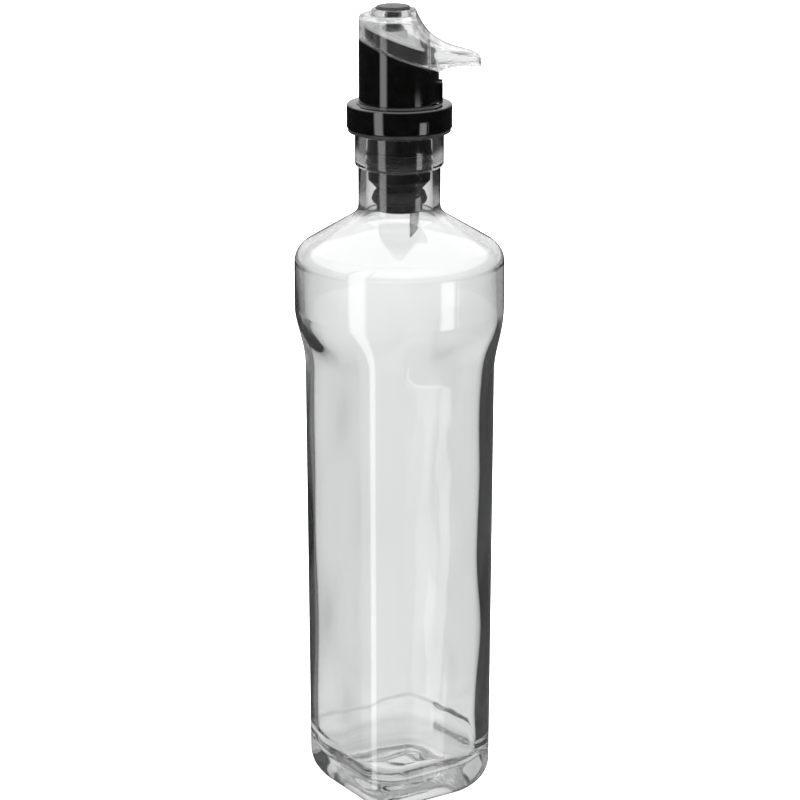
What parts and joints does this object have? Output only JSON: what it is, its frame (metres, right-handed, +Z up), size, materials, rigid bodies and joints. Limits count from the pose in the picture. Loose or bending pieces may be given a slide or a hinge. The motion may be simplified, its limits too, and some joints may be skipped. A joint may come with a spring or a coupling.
{
  "type": "glass oil bottle with push-button pourer",
  "caption": "Square clear glass oil bottle with a round shoulder and a black and clear pourer whose push button opens a valve to the side spout.",
  "frame": {"origin": "centre of the base, on the surface the bottle stands on", "axes": "+Z up the bottle's axis, +X towards the tip of the spout; the glass body's flats face 33 degrees anticlockwise of +X and every 90 degrees from there"},
  "size_m": [0.075, 0.075, 0.2935],
  "materials": {
    "glass": "clear polished soda-lime glass",
    "clear_plastic": "clear moulded plastic",
    "black_plastic": "gloss",
    "plug_plastic": "satin",
    "matt_plastic": "matte",
    "milky_plastic": "cloudy moulded plastic",
    "tube_plastic": "cloudy grey tube",
    "seal": "matte",
    "clear_seal": "translucent matte",
    "steel": "bright drawn wire"
  },
  "bodies": {
    "bottle": {"glass_bottle": "glass"},
    "seals": {"lower_seal_ring": "seal", "upper_seal_ring": "seal"},
    "pourer": {"collar_gasket": "seal", "collar_flange": "black_plastic", "stopper_plug": "plug_plastic", "nose_ring": "seal", "vent_tube": "tube_plastic", "pourer_sleeve": "black_plastic", "latch_panel": "black_plastic", "inner_body": "black_plastic", "spout_hood": "clear_plastic", "guide_plate": "milky_plastic", "stem_seal": "clear_seal", "guide_bush": "clear_plastic", "spring_seat": "black_plastic", "valve_seat": "black_plastic", "return_spring": "steel"},
    "button": {"push_button": "matt_plastic", "button_stem": "black_plastic", "spring_retainer": "black_plastic", "valve_seal": "clear_seal", "valve_disc": "black_plastic"}
  },
  "joints": [
    {"name": "pourer_pull", "type": "slide", "parent": "bottle", "child": "seals", "axis": [0, 0, 1], "range_m": [0, 0.045]},
    {"name": "pourer_turn", "type": "hinge", "parent": "seals", "child": "pourer", "pos_m": [0, 0, 0.24], "axis": [0, 0, 1], "continuous": true},
    {"name": "button_press", "type": "slide", "parent": "pourer", "child": "button", "axis": [0, 0, -1], "range_m": [0, 0.003], "stiffness_N_per_m": 600, "springref_m": -0.004, "deforming": ["return_spring"]}
  ]
}
